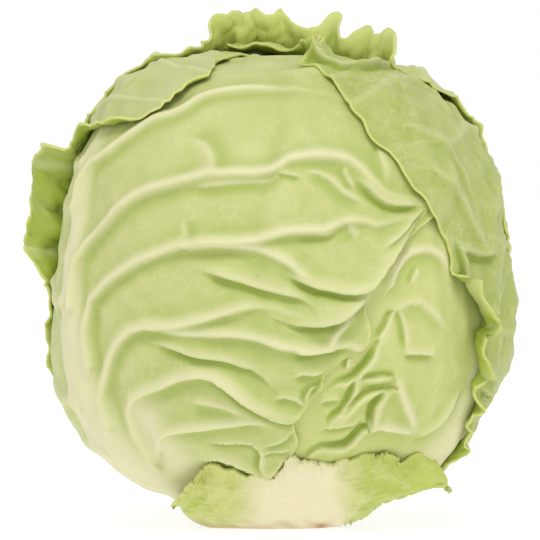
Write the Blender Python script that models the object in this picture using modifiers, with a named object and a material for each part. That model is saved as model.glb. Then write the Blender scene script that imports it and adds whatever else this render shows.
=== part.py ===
"""A cabbage head, standing on the cut face of its stem.

The head is a tight heart of folded inner leaves on a short stem. Wrapper leaves lie over the heart one
above another. Each grows from the stem, with a thick midrib that thins out into the blade. The base of an
older leaf, torn off, stays as a ragged collar round the front, and its thick end is cut off level with the
stem.

+Z is up and the front is -Y. The origin is the middle of the cut face of the stem. All sizes are in metres.
Places on the head are a longitude, from the front towards +X, and a latitude, both in degrees.
"""

import math

import bpy
import numpy as np
from mathutils import Vector

# The head: a ball with slightly squared shoulders, a little to the +X side of its stem.
HEAD_CENTRE = Vector((0.008, 0.0, 0.086))
HEART_RADIUS = 0.0755
SQUARENESS = 0.07
DIMPLE, DIMPLE_SPREAD = 0.05, 25  # the hollow round the stem: its share of the radius, and its width in degrees
HEART_COLUMNS, HEART_ROWS = 40, 22

TO_STEM = -HEAD_CENTRE.normalized()

# The stem.
STEM_RADIUS = 0.0195
STEM_NECK_RADIUS = 0.0175
STEM_CHAMFER = 0.001
STEM_TOP = 0.024
STEM_STEPS = 36

# Every leaf.
BLADE = 0.0009  # thickness of the blade
GAP = 0.0008  # clear space between one leaf and the next
LEAF_COLUMNS, LEAF_ROWS = 22, 20
RIB_SPREAD = 1.4  # how much wider than a midrib the leaf lying over it bridges
RIB_CLEARANCE = 0.0006
HEEL = 0.05  # over how much of the head's radius a midrib fades out behind its base

# Wrapper leaves, from the innermost out. base and middle are places on the head: the midrib runs from base
# through middle. left and right are the blade's widths to each side, seen from outside, each as an angle
# along the midrib and the width there, in degrees. rib is the midrib's height and half width. lifts are
# stretches where the margin stands off the head: the edge, from and to along the midrib (or across it for
# the tip), the height, the number of ruffles, and the share of the blade where the rise begins.
WRAPPERS = {
    "right_inner_leaf": {
        "base": (52, -75),
        "middle": (66, -10),
        "left": ((7, 110), (24, 88), (38, 88), (58, 76), (75, 70), (100, 65), (138, 45)),
        "right": ((7, 110), (24, 86), (40, 85), (80, 80), (110, 65), (138, 45)),
        "rib": (0.0055, 0.009),
        "lifts": (),
    },
    "front_leaf": {
        "base": (-50, -68),
        "middle": (-64, -4),
        "left": ((6, 105), (24, 70), (100, 66), (130, 60), (162, 50)),
        "right": ((6, 105), (24, 90), (37, 91), (49, 86), (60, 87), (69, 94), (81, 90), (98, 95), (111, 104), (135, 100), (162, 70)),
        "rib": (0.0060, 0.010),
        "lifts": (),
    },
    "left_outer_leaf": {
        "base": (-122, -70),
        "middle": (-124, 0),
        "left": ((6, 105), (24, 82), (50, 84), (110, 80), (150, 56)),
        "right": ((6, 90), (26, 36), (37, 33), (63, 37), (72, 31), (100, 31), (110, 36), (118, 51), (125, 62), (134, 66), (143, 65), (150, 45)),
        "rib": (0.0060, 0.010),
        "lifts": (("right", 55, 118, 0.0115, 2.5, 0.55),),
    },
    "right_outer_leaf": {
        "base": (128, -72),
        "middle": (122, 0),
        "left": ((6, 105), (24, 78), (54, 74), (73, 70), (86, 76), (99, 73), (115, 79), (127, 83), (141, 79), (150, 71), (158, 67)),
        "right": ((6, 105), (24, 82), (50, 84), (110, 80), (158, 56)),
        "rib": (0.0058, 0.010),
        "lifts": (("left", 44, 84, 0.0065, 2.5, 0.8), ("tip", -75, 0, 0.004, 1.5, 0.95)),
    },
    "back_outer_leaf": {
        "base": (176, -68),
        "middle": (176, 0),
        "left": ((6, 105), (24, 78), (110, 72), (138, 64), (149, 60)),
        "right": ((6, 105), (24, 78), (110, 74), (138, 62), (149, 48)),
        "rib": (0.0056, 0.010),
        "lifts": (("tip", -60, 52, 0.0088, 3.5, 0.9),),
    },
}

# The torn leaf base. foot and top are the two long edges of the collar, as places round the stem: a bearing
# from the front towards +X in degrees, the distance from the stem's axis, and the height. What is below the
# cut face of the stem is cut off.
TORN_FOOT = ((-64, 0.029, 0.006), (-44, 0.023, -0.004), (0, 0.0195, -0.004), (44, 0.0245, -0.004), (70, 0.066, 0.011))
TORN_TOP = ((-52, 0.040, 0.0125), (-34, 0.053, 0.0215), (2, 0.0665, 0.0270), (34, 0.070, 0.0270), (60, 0.0735, 0.0225))
TORN_HEEL = 0.0040  # thickness near the foot, and a quarter of this at the torn edge
TORN_BELLY = 0.0035  # how far the collar bows out between its two edges
TORN_COLUMNS, TORN_ROWS = 22, 9

LEAF_GREEN = (0.50, 0.62, 0.24, 1.0)
STEM_CREAM = (0.80, 0.72, 0.50, 1.0)


def clear_scene():
    for leftover in list(bpy.data.objects):
        bpy.data.objects.remove(leftover)


def new_collection(name):
    made = bpy.data.collections.new(name)
    bpy.context.scene.collection.children.link(made)
    return made


def matte(name, colour, roughness):
    """A plain non-metallic material."""
    made = bpy.data.materials.new(name)
    made.use_nodes = True
    shader = made.node_tree.nodes["Principled BSDF"]
    shader.inputs["Base Color"].default_value = colour
    shader.inputs["Roughness"].default_value = roughness
    shader.inputs["Metallic"].default_value = 0.0
    made.diffuse_color = colour
    return made


def finish(obj, name, collection, material):
    """Names the object, gives it its material and puts it in its own collection."""
    obj.name = obj.data.name = name
    obj.data.materials.clear()
    obj.data.materials.append(material)
    for other in list(obj.users_collection):
        other.objects.unlink(obj)
    collection.objects.link(obj)
    obj.data.shade_smooth()
    return obj


def on_ball(longitude, latitude):
    """The direction from the head's centre towards a place on it."""
    turn, rise = math.radians(longitude), math.radians(latitude)
    return Vector((math.cos(rise) * math.sin(turn), -math.cos(rise) * math.cos(turn), math.sin(rise)))


def heart_radius(way):
    """Distance from the head's centre to the heart: a ball, fuller halfway to each pole and hollow at the stem."""
    shoulder = 2 * way.z * math.sqrt(max(0.0, 1 - way.z**2))
    from_stem = math.degrees(math.acos(max(-1.0, min(1.0, way.dot(TO_STEM)))))
    dimple = DIMPLE * math.exp(-((from_stem / DIMPLE_SPREAD) ** 2))
    return HEART_RADIUS * (1 + SQUARENESS * shoulder**2 - dimple)


def smooth_step(value):
    value = min(1.0, max(0.0, value))
    return value * value * (3 - 2 * value)


class Wrapper:
    """One wrapper leaf's own coordinates on the head: along its midrib from the base, and across it."""

    def __init__(self, name, facts):
        self.name, self.facts = name, facts
        self.base = on_ball(*facts["base"])
        middle = on_ball(*facts["middle"])
        self.ahead = (middle - middle.dot(self.base) * self.base).normalized()
        self.across = self.ahead.cross(self.base)
        self.height, self.width = facts["rib"]
        self.start, self.end = (math.radians(facts["left"][i][0]) for i in (0, -1))

    def way(self, along, across):
        """The direction of a point, given both of the leaf's angles in radians."""
        outward = math.cos(across) * self.ahead + math.sin(across) * self.across
        return math.cos(along) * self.base + math.sin(along) * outward

    def rib(self, way, spread=1.0):
        """Thickness that the midrib adds to the blade in a direction."""
        forward = way.dot(self.ahead)
        along = math.atan2(max(0.0, forward), way.dot(self.base))
        at_stem = smooth_step((forward + 2 * HEEL) / HEEL)
        distance = math.asin(max(-1.0, min(1.0, way.dot(self.across)))) * HEART_RADIUS
        thinning = 1 - smooth_step(along / self.end)
        return self.height * at_stem * thinning * math.exp(-((distance / (self.width * spread)) ** 2))

    def half_width(self, side, along):
        """The blade's width to one side of the midrib, in radians."""
        places, widths = zip(*self.facts[side])
        return math.radians(float(np.interp(math.degrees(along), places, widths)))

    def lift(self, along, across, side_share, along_share):
        """How far the blade stands off the head at a point of it."""
        height = 0.0
        side = "right" if across > 0 else "left"
        for edge, first, last, rise, ruffles, beginning in self.facts["lifts"]:
            if edge not in ("tip", side):
                continue
            spot, outwards = (across, along_share) if edge == "tip" else (along, side_share)
            place = (math.degrees(spot) - first) / (last - first)
            fade = smooth_step(5 * place) * smooth_step(5 * (1 - place))
            ruffle = 0.75 + 0.25 * math.cos(2 * math.pi * ruffles * place)
            height += rise * fade * ruffle * smooth_step((outwards - beginning) / (1 - beginning))
        return height


def bed_radius(way, beneath):
    """Distance from the head's centre to the inside of a leaf that lies on the heart and on other leaves."""
    radius = heart_radius(way) + GAP
    for leaf in beneath:
        radius += BLADE + GAP + leaf.rib(way, RIB_SPREAD) + RIB_CLEARANCE * (leaf.rib(way, RIB_SPREAD) > 0.0005)
    return radius


def grid(columns, rows):
    """A flat grid object, and its vertices with their two shares from 0 to 1."""
    bpy.ops.mesh.primitive_grid_add(x_subdivisions=columns, y_subdivisions=rows, size=1)
    sheet = bpy.context.object
    places = [(v, v.co.x + 0.5, v.co.y + 0.5) for v in sheet.data.vertices]
    return sheet, places


def add_wall(sheet, thickness, group=None):
    """Gives an open sheet a thickness, outwards from the surface that it was shaped on."""
    wall = sheet.modifiers.new("thickness", "SOLIDIFY")
    wall.thickness, wall.offset = thickness, 1.0
    wall.use_even_offset = False
    if group:
        wall.vertex_group = group
    return wall


def make_wrapper(leaf, beneath, collection, material):
    """A leaf: a grid wrapped onto what lies beneath it, thick along the midrib and thin at the margin."""
    sheet, places = grid(LEAF_COLUMNS, LEAF_ROWS)
    thickest = BLADE + leaf.height
    group = sheet.vertex_groups.new(name="rib")
    for vertex, across_share, along_share in places:
        offset = 2 * across_share - 1
        along = leaf.start + (leaf.end - leaf.start) * along_share
        across = offset * leaf.half_width("right" if offset > 0 else "left", along)
        way = leaf.way(along, across)
        radius = bed_radius(way, beneath) + leaf.lift(along, across, abs(offset), along_share)
        vertex.co = HEAD_CENTRE + radius * way
        group.add([vertex.index], (BLADE + leaf.rib(way)) / thickest, "REPLACE")
    add_wall(sheet, thickest, group.name)
    return finish(sheet, leaf.name, collection, material)


def shaped_ball(extra, name, collection, material):
    """A ball with the heart's shape, larger than it by extra."""
    bpy.ops.mesh.primitive_uv_sphere_add(segments=HEART_COLUMNS, ring_count=HEART_ROWS, radius=1)
    ball = bpy.context.object
    for vertex in ball.data.vertices:
        way = vertex.co.normalized()
        vertex.co = HEAD_CENTRE + (heart_radius(way) + extra) * way
    return finish(ball, name, collection, material)


def turned(profile, steps, name, collection, material):
    """A solid of revolution about +Z, from (radius, height) points that run down its outer side."""
    outline = bpy.data.meshes.new(name)
    points = [(radius, 0.0, height) for radius, height in profile]
    outline.from_pydata(points, [(i, i + 1) for i in range(len(points) - 1)], [])
    solid = bpy.data.objects.new(name, outline)
    collection.objects.link(solid)
    screw = solid.modifiers.new("turn", "SCREW")
    screw.steps = screw.render_steps = steps
    screw.use_merge_vertices = True
    screw.merge_threshold = 0.00005
    return finish(solid, name, collection, material)


def subtract(target, cutter):
    """Cuts one object out of another, and keeps the cutter out of the model."""
    cut = target.modifiers.new("clearance for " + cutter.name, "BOOLEAN")
    cut.operation, cut.solver, cut.object = "DIFFERENCE", "EXACT", cutter
    cutter.hide_render = True
    cutter.display_type = "WIRE"


def make_stem(collection, cutters, material):
    """The cut stem, turned, with its top hollowed to seat the heart."""
    stem = turned(
        (
            (0.0, STEM_TOP),
            (STEM_NECK_RADIUS, STEM_TOP),
            (STEM_NECK_RADIUS, 0.008),
            (STEM_RADIUS, 0.004),
            (STEM_RADIUS, STEM_CHAMFER),
            (STEM_RADIUS - STEM_CHAMFER, 0.0),
            (0.0, 0.0),
        ),
        STEM_STEPS, "stem", collection, material,
    )
    subtract(stem, shaped_ball(GAP, "stem_seat_cutter", cutters, material))
    return stem


def round_stem(bearing, distance, height):
    """A point, from a bearing round the stem's axis in degrees."""
    turn = math.radians(bearing)
    return Vector((distance * math.sin(turn), -distance * math.cos(turn), height))


def along_route(points, share):
    """A point on a smooth curve through evenly spaced points, at a share of its length."""
    spot = share * (len(points) - 1)
    i = min(int(spot), len(points) - 2)
    t = spot - i
    before, after = points[max(i - 1, 0)], points[min(i + 2, len(points) - 1)]
    start, end = points[i], points[i + 1]
    return 0.5 * (
        2 * start
        + (end - before) * t
        + (2 * before - 5 * start + 4 * end - after) * t**2
        + (3 * start - before - 3 * end + after) * t**3
    )


def make_torn_base(beneath, collection, material):
    """The base of a leaf that was torn off: a collar that flares from the cut foot to a torn edge.

    It lies outside the leaves that are still on the head.
    """
    sheet, places = grid(TORN_COLUMNS, TORN_ROWS)
    foot = [round_stem(*place) for place in TORN_FOOT]
    top = [round_stem(*place) for place in TORN_TOP]
    group = sheet.vertex_groups.new(name="heel")
    for vertex, round_share, up_share in places:
        low, high = along_route(foot, round_share), along_route(top, round_share)
        spot = low.lerp(high, up_share)
        outward = Vector((spot.x, spot.y, 0)).normalized()
        spot += outward * TORN_BELLY * math.sin(math.pi * up_share)
        from_centre = spot - HEAD_CENTRE
        way = from_centre.normalized()
        clear = bed_radius(way, beneath) + TORN_HEEL
        vertex.co = HEAD_CENTRE + max(from_centre.length, clear * smooth_step(4 * up_share)) * way
        heel = smooth_step(1.4 - 1.2 * up_share) * smooth_step(3 * min(round_share, 1 - round_share) + 0.2)
        group.add([vertex.index], 0.25 + 0.75 * heel, "REPLACE")
    wall = add_wall(sheet, TORN_HEEL, group.name)
    wall.offset = -1.0
    return finish(sheet, "torn_leaf_base", collection, material)


def main():
    clear_scene()
    cabbage = new_collection("cabbage_head")
    cutters = new_collection("cutters")
    leaf_skin = matte("leaf", LEAF_GREEN, 0.5)
    stem_flesh = matte("stem", STEM_CREAM, 0.6)

    shaped_ball(0.0, "heart", cabbage, leaf_skin)
    make_stem(cabbage, cutters, stem_flesh)
    stem_room = turned(
        ((0.0, 0.05), (STEM_RADIUS + GAP, 0.05), (STEM_RADIUS + GAP, -0.01), (0.0, -0.01)),
        STEM_STEPS, "stem_room_cutter", cutters, stem_flesh,
    )
    beneath = []
    for name, facts in WRAPPERS.items():
        leaf = Wrapper(name, facts)
        subtract(make_wrapper(leaf, beneath, cabbage, leaf_skin), stem_room)
        beneath.append(leaf)
    bpy.ops.mesh.primitive_cube_add(size=0.3, location=(0, 0, -0.15))
    below_cut = finish(bpy.context.object, "below_cut_cutter", cutters, stem_flesh)
    torn = make_torn_base(beneath, cabbage, leaf_skin)
    subtract(torn, stem_room)
    subtract(torn, below_cut)


main()
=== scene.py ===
from collections import namedtuple
import bmesh
import bpy
import numpy as np
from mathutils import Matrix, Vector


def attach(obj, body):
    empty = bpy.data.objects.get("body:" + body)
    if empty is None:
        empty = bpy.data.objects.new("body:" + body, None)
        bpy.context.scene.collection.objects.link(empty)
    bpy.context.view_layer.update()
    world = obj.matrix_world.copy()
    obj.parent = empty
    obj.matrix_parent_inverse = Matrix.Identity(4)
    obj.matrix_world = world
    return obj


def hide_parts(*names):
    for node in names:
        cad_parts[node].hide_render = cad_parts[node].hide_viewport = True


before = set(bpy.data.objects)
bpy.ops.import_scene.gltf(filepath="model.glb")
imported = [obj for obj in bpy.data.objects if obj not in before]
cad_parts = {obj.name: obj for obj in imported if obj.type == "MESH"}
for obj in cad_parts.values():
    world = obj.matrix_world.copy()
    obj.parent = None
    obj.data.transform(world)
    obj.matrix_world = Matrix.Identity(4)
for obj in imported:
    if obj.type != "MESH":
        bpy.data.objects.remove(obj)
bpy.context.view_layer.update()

# ---- Heart -------------------------------------------------------------------------------------------------
# The tight ball of folded inner leaves. It grew as one bud, and it is what every other leaf lies on.
# Lengths here are in millimetres. Ways are unit vectors from the middle of the head.
MIDDLE = np.array([8.0, 0.0, 86.0])
HEART_RADIUS, SHOULDERS = 75.5, 0.07
STEM_DIMPLE, DIMPLE_DEGREES = 0.05, 25
AROUND = 80  # about how many millimetres of the head's surface there are to a radian
# Where the heart swells past a plain ball: longitude, latitude, height, and how far the swelling spreads.
SWELLINGS = ((-84, -34, 7.0, 0.22), (88, -20, 3.4, 0.12), (-90, 54, 3.5, 0.08))
TO_STEM = -MIDDLE / np.linalg.norm(MIDDLE)


def ease(x):
    """A soft step from 0 to 1."""
    x = np.clip(x, 0, 1)
    return x * x * (3 - 2 * x)


def toward(longitude, latitude):
    """Ways to places on the head: degrees from the front towards +X, and degrees up."""
    turn, rise = np.radians(longitude), np.radians(latitude)
    return np.stack([np.cos(rise) * np.sin(turn), -np.cos(rise) * np.cos(turn), np.sin(rise)], -1)


def heart_radius(ways):
    """How far the heart's surface is from the middle of the head."""
    z = ways[..., 2]
    shoulder = 4 * z * z * (1 - z * z)
    off_stem = np.degrees(np.arccos(np.clip(ways @ TO_STEM, -1, 1)))
    dimple = np.exp(-((off_stem / DIMPLE_DEGREES) ** 2))
    radius = HEART_RADIUS * (1 + SHOULDERS * shoulder - STEM_DIMPLE * dimple)
    for longitude, latitude, height, size in SWELLINGS:
        radius = radius + height * np.exp(-np.sum((ways - toward(longitude, latitude)) ** 2, -1) / size)
    return radius


def ripple(points, length, seed, waves=10):
    """Smooth unevenness with about this length, from -1 to 1 or so."""
    rng = np.random.default_rng(seed)
    turns = rng.normal(size=(waves, points.shape[-1]))
    stretch = (2 * np.pi / length) * rng.uniform(0.6, 1.4, (waves, 1))
    turns *= stretch / np.linalg.norm(turns, axis=1, keepdims=True)
    return np.cos(points @ turns.T + rng.uniform(0, 6.28, waves)).sum(-1) / np.sqrt(waves / 2) / 1.6


def skin(name, points, faces, marks, finish, nodes):
    """A closed piece from its points in millimetres, its faces, and named values on its points."""
    mesh = bpy.data.meshes.new(name)
    mesh.from_pydata((points / 1000).tolist(), [], faces)
    for key, values in marks.items():
        mesh.attributes.new(key, "FLOAT", "POINT").data.foreach_set("value", np.asarray(values, np.float32))
    mesh.materials.append(finish)
    mesh.shade_smooth()
    piece = bpy.data.objects.new(name, mesh)
    bpy.context.scene.collection.objects.link(piece)
    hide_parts(*nodes)
    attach(piece, "root")
    return piece


def weld(piece):
    """Joins the points that a round grid repeats where it closes to a single point."""
    welded = bmesh.new()
    welded.from_mesh(piece.data)
    bmesh.ops.remove_doubles(welded, verts=welded.verts, dist=1e-6)
    bmesh.ops.recalc_face_normals(welded, faces=welded.faces)
    welded.to_mesh(piece.data)
    welded.free()


def grid_faces(grid):
    """Faces of a grid of point numbers."""
    return np.stack([grid[:-1, :-1], grid[:-1, 1:], grid[1:, 1:], grid[1:, :-1]], -1).reshape(-1, 4)


def ring_faces(rows, columns):
    """Faces of a grid whose columns go right round."""
    ring = np.arange(rows * columns).reshape(rows, columns)
    return grid_faces(np.concatenate([ring, ring[:, :1]], 1)).tolist()


class Value:
    """A shader socket that takes part in sums, so that a pattern is written as an expression."""

    def __init__(self, tree, socket):
        self.tree, self.socket = tree, socket

    def node(self, kind, settings=None, out=0, **inputs):
        """Any node, from its type, its settings and the values or links of its sockets."""
        made = self.tree.nodes.new(kind)
        for key, value in (settings or {}).items():
            if key == "stops":
                ramp = made.color_ramp.elements
                while len(ramp) < len(value):
                    ramp.new(0.5)
                for stop, (place, colour) in zip(ramp, value):
                    stop.position, stop.color = place, colour
            else:
                setattr(made, key, value)
        for key, value in inputs.items():
            numbered = key[0] == "i" and key[1:].isdigit()
            socket = made.inputs[int(key[1:]) if numbered else key.replace("_", " ")]
            if isinstance(value, Value):
                self.tree.links.new(value.socket, socket)
            else:
                socket.default_value = value
        return Value(self.tree, made.outputs[out])

    def math(self, operation, *others):
        sockets = {f"i{n + 1}": other for n, other in enumerate(others)}
        return self.node("ShaderNodeMath", {"operation": operation}, i0=self, **sockets)

    def __add__(self, other):
        return self.math("ADD", other)

    def __mul__(self, other):
        return self.math("MULTIPLY", other)

    def __sub__(self, other):
        return self.math("SUBTRACT", other)

    def __rsub__(self, other):
        return self * -1.0 + other

    __radd__, __rmul__ = __add__, __mul__

    def clip(self):
        """This value, held between 0 and 1."""
        return self.math("MINIMUM", 1.0).math("MAXIMUM", 0.0)

    def between(self, low, high):
        """0 up to the low value and 1 from the high one, with a soft step between."""
        soft = {"interpolation_type": "SMOOTHSTEP"}
        return self.node("ShaderNodeMapRange", soft, Value=self, From_Min=low, From_Max=high)

    def blend(self, first, second):
        """Two colours, mixed by this value."""
        return self.node("ShaderNodeMix", {"data_type": "RGBA"}, out=2, i0=self, i6=first, i7=second)


DRIED_BROWN = (0.46, 0.24, 0.07, 1)


def leaf_finish(name, pale, green, vein, deep, margin, inside=None, net=1.0, roughness=0.46):
    """Waxy leaf: cream where veins stand out, painted shade greener in hollows and under folds, painted light
    paler on crests, brighter along the margin.
    """
    made = bpy.data.materials.new(name)
    made.use_nodes = True
    tree = made.node_tree
    shader = tree.nodes["Principled BSDF"]
    start = Value(tree, None)
    place = start.node("ShaderNodeTexCoord", out=3)
    mark = {key: start.node("ShaderNodeAttribute", {"attribute_name": key}, out=2)
            for key in ("cream", "deep", "margin", "age", "inside", "hollow")}
    wander = start.node("ShaderNodeTexNoise", out=1, Vector=place, Scale=90.0, Detail=3.0)
    bent = start.node("ShaderNodeMix", {"data_type": "VECTOR"}, out=1, i0=0.02, i4=place, i5=wander)
    coarse = start.node("ShaderNodeTexVoronoi", {"feature": "DISTANCE_TO_EDGE"}, Vector=bent, Scale=150.0)
    fine = start.node("ShaderNodeTexVoronoi", {"feature": "DISTANCE_TO_EDGE"}, Vector=bent, Scale=430.0)
    patchy = start.node("ShaderNodeTexNoise", Vector=place, Scale=55.0, Detail=2.0).between(0.35, 0.65)
    netting = (1 - coarse.between(0.0, 0.09)) * (patchy * 0.7 + 0.15) + (1 - fine.between(0.0, 0.12)) * 0.25
    broad = start.node("ShaderNodeTexNoise", Vector=place, Scale=22.0, Detail=4.0,
                       Roughness=0.6).between(0.32, 0.68)
    grain = start.node("ShaderNodeTexNoise", Vector=place, Scale=640.0, Detail=3.0)
    # Painted shade and light: the hollow mark turns hollows green and crests pale; broad and grain are the
    # leaf's own uneven tone.
    tone_and_painted_shading = mark["hollow"] * 0.7 + broad * 0.4 + (grain - 0.5) * 0.35 + 0.42
    body = tone_and_painted_shading.clip().blend(pale, green)
    body = (netting * (0.22 * net) * (1 - mark["deep"] * 0.5)).clip().blend(body, vein)
    # The inner face: partly its own greener tone, partly painted shade; by default it takes the painted shade
    # colour.
    body = (mark["inside"] * 0.9).clip().blend(body, inside or deep)
    # Painted shade: darker green along the low side of folds and veins, where their shadow falls.
    body = mark["deep"].clip().blend(body, deep)
    body = mark["cream"].clip().blend(body, vein)
    body = (mark["margin"] * 0.85).clip().blend(body, margin)
    body = (mark["age"] * (grain * 0.9 + 0.55)).clip().blend(body, DRIED_BROWN)
    tree.links.new(body.socket, shader.inputs["Base Color"])
    rough = grain * 0.16 + (roughness - 0.08) + mark["cream"] * 0.06
    tree.links.new(rough.socket, shader.inputs["Roughness"])
    height = netting * (0.45 * net) + grain * 0.3 + broad * 0.2
    bump = start.node("ShaderNodeBump", Strength=0.3, Distance=0.0005, Height=height)
    tree.links.new(bump.socket, shader.inputs["Normal"])
    shader.inputs["Subsurface Weight"].default_value = 0.18
    shader.inputs["Subsurface Radius"].default_value = (1.0, 1.1, 0.35)
    shader.inputs["Subsurface Scale"].default_value = 0.0022
    shader.inputs["Specular IOR Level"].default_value = 0.28
    return made


heart_skin = leaf_finish("heart_skin", (0.60, 0.63, 0.29, 1), (0.49, 0.55, 0.20, 1), (0.71, 0.69, 0.40, 1),
                         (0.38, 0.47, 0.08, 1), (0.62, 0.66, 0.24, 1))
rise, turn = np.meshgrid(np.linspace(-90, 90, 91), np.linspace(0, 360, 145)[:-1], indexing="ij")
heart_ways = toward(turn, rise)
heart_surface = heart_radius(heart_ways) + 0.4 * ripple(heart_ways * AROUND, 22, 3)
heart_points = MIDDLE + heart_ways * heart_surface[..., None]
weld(skin("heart_ball", heart_points.reshape(-1, 3), ring_faces(*rise.shape), {}, heart_skin,
          ["heart"]))


# ---- Stem --------------------------------------------------------------------------------------------------
# The short thick stalk that the leaves grow from, cut straight across. The head stands on the cut face, where
# the ends of the stalk's vessels show as two rings of small pale dots.
VESSEL_SIZE, VESSEL_SCATTER, VESSEL_HEIGHT = 0.00055, 0.0009, 0.00028  # in metres
stem_skin = leaf_finish("stem_flesh", (0.74, 0.65, 0.40, 1), (0.66, 0.56, 0.28, 1), (0.84, 0.78, 0.56, 1),
                        (0.62, 0.58, 0.26, 1), (0.66, 0.46, 0.20, 1), net=0.5, roughness=0.6)
around = np.linspace(0, 2 * np.pi, 129)[:-1]
profile = [(0.0, 0.4), (6.0, 0.4), (12.0, 0.35), (16.5, 0.2), (18.4, 0.0), (19.1, 0.3), (19.5, 1.0),
           (19.3, 2.5), (18.8, 4.5), (18.0, 7.0), (17.6, 10.0), (17.5, 14.0), (12.0, 15.5), (0.0, 15.5)]
turned = np.array([[(r * np.cos(a), r * np.sin(a), z) for a in around] for r, z in profile])
out_of_round = 0.02 * ripple(np.stack([np.cos(around), np.sin(around)], -1) * 20, 18, 5)
turned[..., :2] *= (1 + out_of_round)[None, :, None]
dried = np.array([[np.exp(-((r - 18.8) / 1.8) ** 2) * (z < 3) for a in around] for r, z in profile])
stem_faces = ring_faces(len(profile), len(around))
weld(skin("cut_stem", turned.reshape(-1, 3), stem_faces, {"age": 0.9 * dried.ravel()}, stem_skin,
          ["stem"]))

vessels = bpy.data.node_groups.new("vessel_ring", "GeometryNodeTree")
vessels.interface.new_socket(name="Geometry", in_out="OUTPUT", socket_type="NodeSocketGeometry")
for name, kind in (("Vessels", "Int"), ("Ring radius", "Float"), ("Vessel size", "Float"),
                   ("Scatter", "Float"), ("Seed", "Int"), ("Flesh", "Material")):
    vessels.interface.new_socket(name=name, in_out="INPUT", socket_type="NodeSocket" + kind)
given = vessels.nodes.new("NodeGroupInput")
wanted = [Value(vessels, socket) for socket in given.outputs[:6]]
count, ring_radius, vessel_size, scatter, seed, flesh = wanted
circle = count.node("GeometryNodeMeshCircle", Vertices=count, Radius=ring_radius)
stray = count.node("FunctionNodeRandomValue", {"data_type": "FLOAT_VECTOR"}, i0=(-1, -1, 0), i1=(1, 1, 0),
                   i8=seed)
stray = count.node("ShaderNodeVectorMath", {"operation": "SCALE"}, i0=stray, i3=scatter)
moved = count.node("GeometryNodeSetPosition", Geometry=circle, Offset=stray)
dot = count.node("GeometryNodeMeshUVSphere", Segments=12, Rings=6, Radius=vessel_size)
size = count.node("FunctionNodeRandomValue", {"data_type": "FLOAT_VECTOR"}, i0=(0.6, 0.6, 0.3),
                  i1=(1.4, 1.1, 0.4), i8=seed)
dots = count.node("GeometryNodeInstanceOnPoints", Points=moved, Instance=dot, Scale=size)
plain = count.node("GeometryNodeRealizeInstances", Geometry=dots)
ends = count.node("GeometryNodeSetMaterial", Geometry=plain, Material=flesh)
vessels.links.new(ends.socket, vessels.nodes.new("NodeGroupOutput").inputs[0])
vessel_skin = leaf_finish("vessel_flesh", (0.86, 0.80, 0.58, 1), (0.80, 0.72, 0.46, 1), (0.9, 0.85, 0.66, 1),
                          (0.7, 0.62, 0.34, 1), (0.7, 0.6, 0.3, 1), net=0.2, roughness=0.5)
slots = {item.name: item.identifier for item in vessels.interface.items_tree if item.in_out == "INPUT"}
for ring_name, number, radius_mm, seed_value in (("inner_vessels", 22, 8.5, 4),
                                                 ("outer_vessels", 34, 14.0, 9)):
    mesh = bpy.data.meshes.new(ring_name)
    carrier = bpy.data.objects.new(ring_name, mesh)
    bpy.context.scene.collection.objects.link(carrier)
    rings = carrier.modifiers.new("vessels", "NODES")
    rings.node_group = vessels
    settings = {"Vessels": number, "Ring radius": radius_mm / 1000, "Vessel size": VESSEL_SIZE,
                "Scatter": VESSEL_SCATTER, "Seed": seed_value, "Flesh": vessel_skin}
    for key, value in settings.items():
        rings[slots[key]] = value
    bpy.context.view_layer.update()
    plain_mesh = bpy.data.meshes.new_from_object(carrier.evaluated_get(bpy.context.evaluated_depsgraph_get()))
    carrier.modifiers.clear()
    carrier.data = plain_mesh
    plain_mesh.name = ring_name
    for point in plain_mesh.vertices:
        point.co.z += VESSEL_HEIGHT
    plain_mesh.shade_smooth()
    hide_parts("stem")
    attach(carrier, "root")


# ---- Right inner leaf --------------------------------------------------------------------------------------
# The innermost leaf that shows, low on the right. It grew round the heart from a pale midrib beside the stem.
BLADE, AIR = 0.9, 0.8  # a leaf's thickness, and the gap under it
DEEPEST = 1.3  # how far a hollow in a blade can sink
MARK_RADIUS = 82  # the ball on which the courses of veins and folds are drawn
LEAF_ROWS, LEAF_COLUMNS = 277, 277
LOWEST = 0.1  # no leaf comes nearer the table than this
LEFT, BOTH, RIGHT, TIP = -1, 0, 1, "tip"
Curl = namedtuple("Curl", "edge first last strip angle ruffle length")


def seen_at(x, z):
    """Ways to places on the front of the head, from how far right of the stem and how high they are."""
    aside, up = np.asarray(x, float) - MIDDLE[0], np.asarray(z, float) - MIDDLE[2]
    flat = np.hypot(aside, up)
    radius = np.full_like(flat, AROUND)
    for _ in range(12):
        depth = np.sqrt(np.maximum(radius**2 - flat**2, 1.0))
        ways = np.stack([aside, -depth, up], -1)
        ways /= np.linalg.norm(ways, axis=-1, keepdims=True)
        radius = heart_radius(ways) + 4
    return ways


def smooth_line(points, spacing):
    """Even points along a smooth curve through the given ones."""
    points = np.asarray(points, float)
    ends = np.concatenate([2 * points[:1] - points[1:2], points, 2 * points[-1:] - points[-2:-1]])
    line = []
    for i in range(1, len(ends) - 2):
        before, a, b, after = ends[i - 1:i + 3]
        n = max(1, int(np.linalg.norm(b - a) / spacing))
        t = (np.arange(n) / n)[:, None]
        line.append(0.5 * (2 * a + (b - before) * t + (2 * before - 5 * a + 4 * b - after) * t**2
                           + (3 * a - before - 3 * b + after) * t**3))
    return np.concatenate(line + [points[-1:]])


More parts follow.
